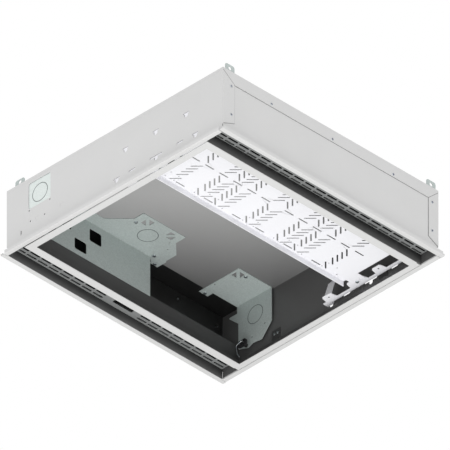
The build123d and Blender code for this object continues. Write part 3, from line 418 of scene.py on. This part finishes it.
zinc_plating, tree, surface, place = start_finish("bright_zinc_plating")
tint = add_node(tree, "ShaderNodeTexNoise", {"Vector": place, "Scale": per_metre(TINT_MM), "Detail": 2.0})
tree.links.new(mix_colours(tree, tint.outputs[0], PLATING_BLUE, PLATING_WARM), surface.inputs["Base Color"])
surface.inputs["Metallic"].default_value = 1.0
surface.inputs["Roughness"].default_value = PLATING_ROUGHNESS
print("made", zinc_plating.name)

# %% Spring strip
STRIP_STEEL = "#7E8082"
STRIP_STEEL_LIGHT = "#9C9EA0"
ROLLING_LINE_MM = 0.6
STRETCHED_UPWARDS = (1.0, 1.0, 0.05)
STRIP_ROUGHNESS = 0.35
STRIP_RELIEF = 0.01

spring_strip, tree, surface, place = start_finish("rolled_spring_steel")
stretched = add_node(tree, "ShaderNodeMapping", {"Vector": place, "Scale": STRETCHED_UPWARDS}).outputs[0]
lines = add_node(tree, "ShaderNodeTexNoise", {"Vector": stretched, "Scale": per_metre(ROLLING_LINE_MM)})
strip_tone = mix_colours(tree, lines.outputs[0], STRIP_STEEL, STRIP_STEEL_LIGHT)
tree.links.new(strip_tone, surface.inputs["Base Color"])
surface.inputs["Metallic"].default_value = 1.0
surface.inputs["Roughness"].default_value = STRIP_ROUGHNESS
link_bump(tree, surface, lines.outputs[0], STRIP_RELIEF)
print("made", spring_strip.name)

# %% Moulded nylon
NYLON_BLACK = "#141415"
NYLON_WORN = "#222224"
GRAIN_MM = 0.8
NYLON_ROUGHNESS = 0.55
NYLON_RELIEF = 0.03

black_nylon, tree, surface, place = start_finish("moulded_black_nylon")
grain = add_node(tree, "ShaderNodeTexNoise", {"Vector": place, "Scale": per_metre(GRAIN_MM), "Detail": 2.0})
tree.links.new(mix_colours(tree, grain.outputs[0], NYLON_BLACK, NYLON_WORN), surface.inputs["Base Color"])
surface.inputs["Roughness"].default_value = NYLON_ROUGHNESS
link_bump(tree, surface, grain.outputs[0], NYLON_RELIEF)
print("made", black_nylon.name)

# %% [markdown]
# ## Dressing the sheet metal
# Cut and folded sheet has no sharp edge: shears leave a small radius and paint rounds it further. The exact
# shapes stay as they are and a Bevel modifier rounds every edge, after a Weld modifier has joined the
# points that each face has for itself. A weighted normal keeps the large faces flat to the eye.

# %% Finishes and edge radii on every piece of the frame
FINISHES = {
    "white_enamel": white_enamel,
    "galvanised_steel": galvanised,
    "zinc_plated_steel": zinc_plating,
    "spring_steel": spring_strip,
    "black_nylon": black_nylon,
}
# Pieces whose powder coat is painted darker inside the box as painted shade, and the kind of tone each gets.
PAINTED_SHADE_KINDS = {
    "housing_shell": "wall",
    "front_end_panel": "channel",
    "back_end_panel": "channel",
    "front_rail": "channel",
    "back_rail": "rail",
    "access_frame": "lip",
    "front_hinge_bracket": "lip",
    "back_hinge_bracket": "lip",
    "front_vent_grille": "grille",
    "back_vent_grille": "grille",
}
EDGE_RADIUS = 0.25 * MM
EDGE_SEGMENTS = 2
WELD_DISTANCE = 0.002 * MM
FOLD_ANGLE = math.radians(40)

OWN_FINISH = {name: coats_with_painted_shade[part] for name, part in PAINTED_SHADE_KINDS.items()}
OWN_FINISH["inlet_liner"] = bright_galvanised
slots = {part["node"]: part["material_slot"] for part in frame["record"]["subparts"]}


def soften_edges(piece, radius):
    """Joins split points, rounds sharp edges and keeps flat faces flat to the eye."""
    weld = piece.modifiers.new("join_points", "WELD")
    weld.merge_threshold = WELD_DISTANCE
    bevel = piece.modifiers.new("edge_radius", "BEVEL")
    bevel.width = radius
    bevel.segments = EDGE_SEGMENTS
    bevel.limit_method = "ANGLE"
    bevel.angle_limit = FOLD_ANGLE
    bevel.harden_normals = False
    normals = piece.modifiers.new("flat_faces", "WEIGHTED_NORMAL")
    normals.keep_sharp = True


for name, piece in frame["nodes"].items():
    finish = OWN_FINISH[name] if name in OWN_FINISH else FINISHES[slots[name]]
    if not piece.material_slots:
        piece.data.materials.append(finish)
    for material_slot in piece.material_slots:
        material_slot.material = finish
    soften_edges(piece, EDGE_RADIUS)
print("dressed", len(frame["nodes"]), "pieces")

# %% [markdown]
# ## Knockouts
# A knockout is a disc that the punch has all but cut out, so a thin dark ring shows round it: its torn
# edge, and the shade in its groove. The exact model has the groove, one millimetre wide and half as deep,
# which is too fine for this picture. So a narrow ring of dark zinc lies over it, which is partly the torn edge
# and partly painted shade of the groove. A painted circle would do as well, but a mesh keeps a crisp edge
# close up. A ring is a profile turned about an axis, so one lathe function makes it, and makes the mandrels
# later.

# %% A lathe, and a helper for new pieces
LATHE_SEGMENTS = 64


def add_piece(name, mesh, finish):
    """Puts a new piece in the scene, with its finish, riding on the fixed body."""
    mesh.materials.append(finish)
    piece = bpy.data.objects.new(name, mesh)
    scene.collection.objects.link(piece)
    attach(piece, "root")


def turned_mesh(name, profile, places):
    """A lathe: turns (radius, height) points about an axis at each (centre, axis) place, into one mesh."""
    form = bmesh.new()
    for centre, axis in places:
        turn = Vector(axis).to_track_quat("Z", "Y").to_matrix()
        loops = []
        for radius, height in profile:
            loop = []
            for step in range(LATHE_SEGMENTS):
                angle = 2 * math.pi * step / LATHE_SEGMENTS
                point = Vector((radius * math.cos(angle), radius * math.sin(angle), height))
                loop.append(form.verts.new(Vector(centre) + turn @ point))
            loops.append(loop)
        for first, second in zip(loops, loops[1:]):
            for step in range(LATHE_SEGMENTS):
                after = (step + 1) % LATHE_SEGMENTS
                form.faces.new((first[step], first[after], second[after], second[step]))
    bmesh.ops.remove_doubles(form, verts=form.verts, dist=WELD_DISTANCE)
    bmesh.ops.recalc_face_normals(form, faces=form.faces)
    mesh = bpy.data.meshes.new(name)
    form.to_mesh(mesh)
    form.free()
    return mesh


print("the lathe turns in steps of", 360 / LATHE_SEGMENTS, "degrees")

# %% Rings round the knockouts
KNOCKOUT_RADIUS = 21.0 * MM
RING_WIDTH = 1.5 * MM
RING_PROUD = 0.12 * MM
# The centre of each knockout, and the way it faces.
KNOCKOUTS = {
    "box_liner_knockout_edge": ((-4.5 * MM, 199.5 * MM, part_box("box_liner")[0][2]), (0, 0, -1)),
    "corner_liner_knockout_edge": ((286.5 * MM, 197.5 * MM, 105.0 * MM), (-1, 0, 0)),
    "inlet_liner_knockout_edge": ((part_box("inlet_liner")[0][0], 205.5 * MM, 108.5 * MM), (-1, 0, 0)),
}

ring_profile = [
    (KNOCKOUT_RADIUS, -RING_PROUD),
    (KNOCKOUT_RADIUS, RING_PROUD),
    (KNOCKOUT_RADIUS - RING_WIDTH, RING_PROUD),
    (KNOCKOUT_RADIUS - RING_WIDTH, -RING_PROUD),
    (KNOCKOUT_RADIUS, -RING_PROUD),
]
# Each ring is the torn edge of the cut, painted dark as the shade of the groove.
for name, place in KNOCKOUTS.items():
    add_piece(name, turned_mesh(name, ring_profile, [place]), punched_edge_and_groove_shade)
print("knockout rings:", len(KNOCKOUTS))

# %% [markdown]
# ## Rivet mandrels
# A blind rivet keeps the broken end of its mandrel in the middle of its head. The heads come with the exact
# model, so only the dots are made here. Each is a low dome from the same lathe, a little larger than life so
# that it shows. Its dark colour is partly the mandrel's steel and partly painted shade of the bore round it.
# All of them are one mesh, as they share one finish and never move apart.

# %% Mandrels in the rivets of the end panels
FACE_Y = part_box("end_panel_rivets")[1][1]
# The middle of each rivet on an end panel, across and up, in millimetres: three along the top, and two on
# each side.
RIVET_PLACES = [(-161.5, 131.0), (4.5, 131.0), (170.5, 131.0)]
RIVET_PLACES += [(-271.3, 118.3), (276.7, 118.3), (-271.3, 51.3), (276.7, 51.3)]
MANDREL_RADIUS = 1.9 * MM
MANDREL_PROUD = 0.35 * MM
CROWN_RADIUS = MANDREL_RADIUS * 0.7
SHOULDER_HEIGHT = MANDREL_PROUD * 0.6
MANDREL_STEEL_AND_SHADE_DARK = "#4A4A5C"
MANDREL_STEEL_AND_SHADE_LIGHT = "#6C6C80"
SCUFF_MM = 1.5
MANDREL_METALLIC = 0.6
MANDREL_ROUGHNESS = 0.45

# Dark steel: the mandrel's own steel, painted darker as the shade of the bore round it.
mandrel_steel_and_bore_shade, tree, surface, place = start_finish("mandrel_steel_with_painted_bore_shade")
scuff = add_node(tree, "ShaderNodeTexNoise", {"Vector": place, "Scale": per_metre(SCUFF_MM)})
tree.links.new(mix_colours(tree, scuff.outputs[0], MANDREL_STEEL_AND_SHADE_DARK, MANDREL_STEEL_AND_SHADE_LIGHT), surface.inputs["Base Color"])
surface.inputs["Metallic"].default_value = MANDREL_METALLIC
surface.inputs["Roughness"].default_value = MANDREL_ROUGHNESS
mandrel_profile = [
    (MANDREL_RADIUS, -MANDREL_PROUD),
    (MANDREL_RADIUS, SHOULDER_HEIGHT),
    (CROWN_RADIUS, MANDREL_PROUD),
    (0.0, MANDREL_PROUD),
]
mandrel_places = []
for way in (-1, 1):
    mandrel_places += [((x * MM, way * FACE_Y, z * MM), (0, way, 0)) for x, z in RIVET_PLACES]
mandrels = turned_mesh("rivet_mandrels_and_bore_shade", mandrel_profile, mandrel_places)
add_piece("rivet_mandrels_and_bore_shade", mandrels, mandrel_steel_and_bore_shade)
print("mandrels:", len(mandrel_places))

# %% [markdown]
# ## Painted shadow under the folds
# The edges of the folds over the end panels stand off the panel, and the gap under each edge lies in shade.
# A grey round bead along these edges is painted shadow for that gap, and it also runs up the mitres to the
# corners. A noise gives it a dull skin with slight waves. A curve with a round section follows such a path
# with few points, and it is then made into a mesh.

# %% Painted shadow along the folds of the end panels
PANEL_FACE_Y = 293.7 * MM
FOLD_SHADOW_RADIUS = 0.55 * MM
CORNER_X = 293.2 * MM
CORNER_Z = 148.6 * MM
FOLD_LEFT_X = -261.5 * MM
FOLD_RIGHT_X = 267.1 * MM
FOLD_LOW_Z = 125.0 * MM
FOOT_INNER_Z = 35.0 * MM
FOOT_OUTER_Z = 22.0 * MM
FOLD_SHADOW_DARK = "#8A8A8A"
FOLD_SHADOW_LIGHT = "#9C9C9C"
WAVE_MM = 9.0
FOLD_SHADOW_ROUGHNESS = 0.6
FOLD_SHADOW_RELIEF = 0.05

# The bead's grey is painted shadow: the shade in the gap under each fold edge.
seam_sealer, tree, surface, place = start_finish("grey_polyurethane_seam_sealer")
waves = add_node(tree, "ShaderNodeTexNoise", {"Vector": place, "Scale": per_metre(WAVE_MM), "Detail": 3.0})
tree.links.new(mix_colours(tree, waves.outputs[0], FOLD_SHADOW_DARK, FOLD_SHADOW_LIGHT), surface.inputs["Base Color"])
surface.inputs["Roughness"].default_value = FOLD_SHADOW_ROUGHNESS
link_bump(tree, surface, waves.outputs[0], FOLD_SHADOW_RELIEF)


def fold_shadow_paths(way):
    """The runs of the bead on one end panel: a loop under the folds, two mitres and two feet."""
    y = way * (PANEL_FACE_Y + FOLD_SHADOW_RADIUS / 2)
    y_over = way * (PANEL_FACE_Y + 2 * FOLD_SHADOW_RADIUS)
    left_side = [(FOLD_LEFT_X, y, FOOT_INNER_Z), (FOLD_LEFT_X, y, FOLD_LOW_Z)]
    right_side = [(FOLD_RIGHT_X, y, FOLD_LOW_Z), (FOLD_RIGHT_X, y, FOOT_INNER_Z)]
    runs = [left_side + right_side]
    for corner_x, fold_x in ((-CORNER_X, FOLD_LEFT_X), (CORNER_X, FOLD_RIGHT_X)):
        runs.append([(corner_x, y_over, CORNER_Z), (fold_x, y_over, FOLD_LOW_Z)])
        runs.append([(corner_x, y, FOOT_OUTER_Z), (fold_x, y, FOOT_INNER_Z)])
    return runs


def bead_mesh(name, runs, radius):
    """A round bead along straight runs, made from a curve with a round section."""
    curve = bpy.data.curves.new(name, "CURVE")
    curve.dimensions = "3D"
    curve.bevel_depth = radius
    curve.bevel_resolution = 3
    curve.use_fill_caps = True
    for run in runs:
        spline = curve.splines.new("POLY")
        spline.points.add(len(run) - 1)
        for point, corner in zip(spline.points, run):
            point.co = (*corner, 1.0)
    carrier = bpy.data.objects.new(name, curve)
    mesh = bpy.data.meshes.new_from_object(carrier)
    bpy.data.objects.remove(carrier)
    return mesh


for label, way in (("front", -1), ("back", 1)):
    name = label + "_seam_sealer"
    add_piece(name, bead_mesh(name, fold_shadow_paths(way), FOLD_SHADOW_RADIUS), seam_sealer)
print("painted fold shadows on both end panels")

# %% [markdown]

# %% End of the scene
print("end of the scene")
